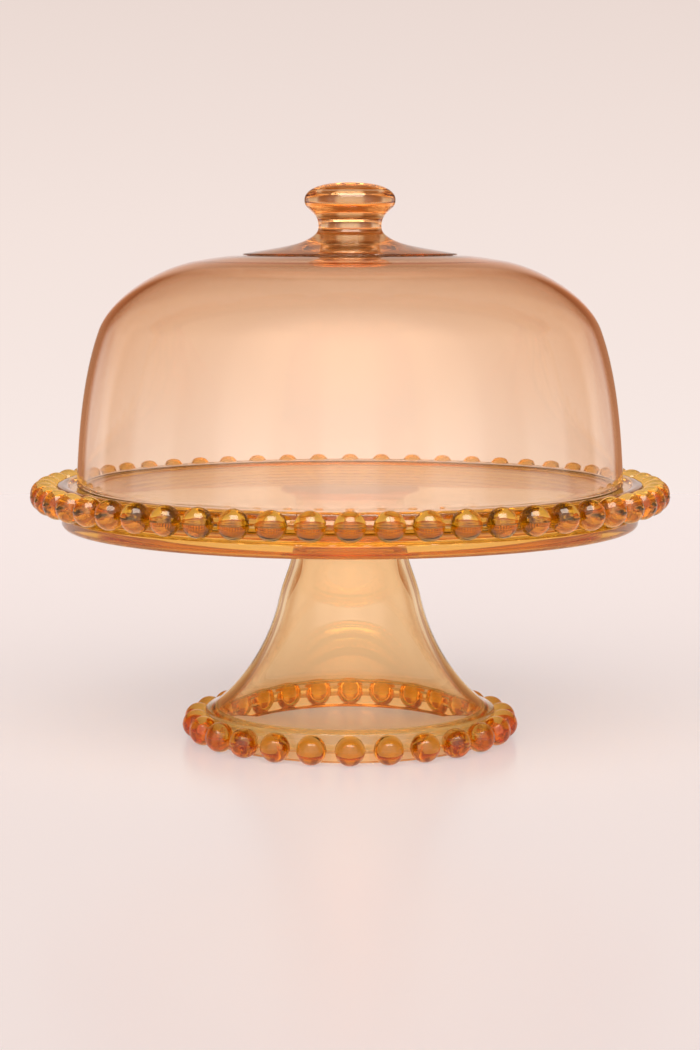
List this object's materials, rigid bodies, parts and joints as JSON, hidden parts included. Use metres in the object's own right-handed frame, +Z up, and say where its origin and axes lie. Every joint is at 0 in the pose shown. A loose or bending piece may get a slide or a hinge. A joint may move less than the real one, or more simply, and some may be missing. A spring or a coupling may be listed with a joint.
{
  "type": "cake stand with dome",
  "caption": "Footed round glass cake stand with beaded plate and foot rims, and a lift-off glass dome with a knob.",
  "frame": {"origin": "centre of the foot's flat ring, on the plane of the table it stands on", "axes": "+Z up along the axis of the stand; +X and +Y level, each through the gap between two beads of the plate's rim"},
  "size_m": [0.2994, 0.3, 0.2615],
  "materials": {
    "pressed_glass": "fire-polished amber pressed glass, deep amber where it is thick",
    "dome_glass": "smooth pale amber glass, thin wall",
    "knob_glass": "smooth rose-amber glass, solid",
    "adhesive": "clear cured adhesive film"
  },
  "bodies": {
    "stand": {"plate": "pressed_glass", "pedestal": "pressed_glass", "plate_bond": "adhesive"},
    "cover": {"dome": "dome_glass", "knob": "knob_glass", "knob_bond": "adhesive"}
  },
  "joints": [
    {"name": "dome_lift", "type": "slide", "parent": "stand", "child": "cover", "axis": [0, 0, 1], "range_m": [0, 0.15]}
  ]
}
